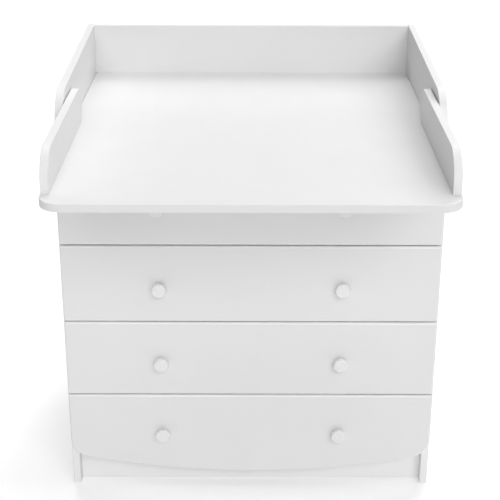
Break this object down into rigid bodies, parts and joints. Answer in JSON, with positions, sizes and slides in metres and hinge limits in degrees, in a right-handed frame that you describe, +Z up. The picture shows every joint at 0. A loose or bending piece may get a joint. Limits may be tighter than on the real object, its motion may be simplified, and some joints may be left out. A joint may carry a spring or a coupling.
{
  "type": "changing table",
  "caption": "White drawer chest with an overhanging changing board, low side rails, a rounded gallery at the back, mushroom knobs and an arched lowest drawer front.",
  "frame": {"origin": "on the floor, in the middle of the whole outline including the overhanging board", "axes": "+Z up, -Y towards the front of the drawers, +X to the right of someone facing the chest"},
  "size_m": [0.8016, 0.9, 0.93],
  "materials": {
    "melamine": "matte white melamine on chipboard",
    "front_lacquer": "matte white front with rounded edges",
    "box_melamine": "matte white melamine on chipboard",
    "white_hardboard": "white-faced hardboard",
    "knob_lacquer": "satin white lacquer on turned wood",
    "beech": "bare beech",
    "white_plastic": "moulded white plastic",
    "zinc_steel": "zinc plated"
  },
  "bodies": {
    "chest": {"back_panel": "white_hardboard", "board_rail_left": "melamine", "board_rail_right": "melamine", "board_screws": "zinc_steel", "bottom_panel": "melamine", "carcass_screws": "zinc_steel", "changing_board": "melamine", "floor_glides": "white_plastic", "gallery_back": "melamine", "gallery_dowels": "beech", "gallery_left": "melamine", "gallery_right": "melamine", "link_screws": "zinc_steel", "link_washers": "white_plastic", "plinth_front": "melamine", "plinth_rear": "melamine", "runner_1_left": "beech", "runner_1_right": "beech", "runner_2_left": "beech", "runner_2_right": "beech", "runner_3_left": "beech", "runner_3_right": "beech", "runner_4_left": "beech", "runner_4_right": "beech", "screw_caps": "white_plastic", "side_left": "melamine", "side_right": "melamine", "top_panel": "melamine"},
    "drawer_1": {"drawer_1_back": "box_melamine", "drawer_1_bottom": "white_hardboard", "drawer_1_dowels": "beech", "drawer_1_front": "front_lacquer", "drawer_1_knobs": "knob_lacquer", "drawer_1_screws": "zinc_steel", "drawer_1_side_left": "box_melamine", "drawer_1_side_right": "box_melamine"},
    "drawer_2": {"drawer_2_back": "box_melamine", "drawer_2_bottom": "white_hardboard", "drawer_2_dowels": "beech", "drawer_2_front": "front_lacquer", "drawer_2_knobs": "knob_lacquer", "drawer_2_screws": "zinc_steel", "drawer_2_side_left": "box_melamine", "drawer_2_side_right": "box_melamine"},
    "drawer_3": {"drawer_3_back": "box_melamine", "drawer_3_bottom": "white_hardboard", "drawer_3_dowels": "beech", "drawer_3_front": "front_lacquer", "drawer_3_knobs": "knob_lacquer", "drawer_3_screws": "zinc_steel", "drawer_3_side_left": "box_melamine", "drawer_3_side_right": "box_melamine"},
    "drawer_4": {"drawer_4_back": "box_melamine", "drawer_4_bottom": "white_hardboard", "drawer_4_dowels": "beech", "drawer_4_front": "front_lacquer", "drawer_4_knobs": "knob_lacquer", "drawer_4_screws": "zinc_steel", "drawer_4_side_left": "box_melamine", "drawer_4_side_right": "box_melamine"}
  },
  "joints": [
    {"name": "drawer_1_slide", "type": "slide", "parent": "chest", "child": "drawer_1", "axis": [0, -1, 0], "range_m": [0, 0.4]},
    {"name": "drawer_2_slide", "type": "slide", "parent": "chest", "child": "drawer_2", "axis": [0, -1, 0], "range_m": [0, 0.4]},
    {"name": "drawer_3_slide", "type": "slide", "parent": "chest", "child": "drawer_3", "axis": [0, -1, 0], "range_m": [0, 0.4]},
    {"name": "drawer_4_slide", "type": "slide", "parent": "chest", "child": "drawer_4", "axis": [0, -1, 0], "range_m": [0, 0.4]}
  ]
}
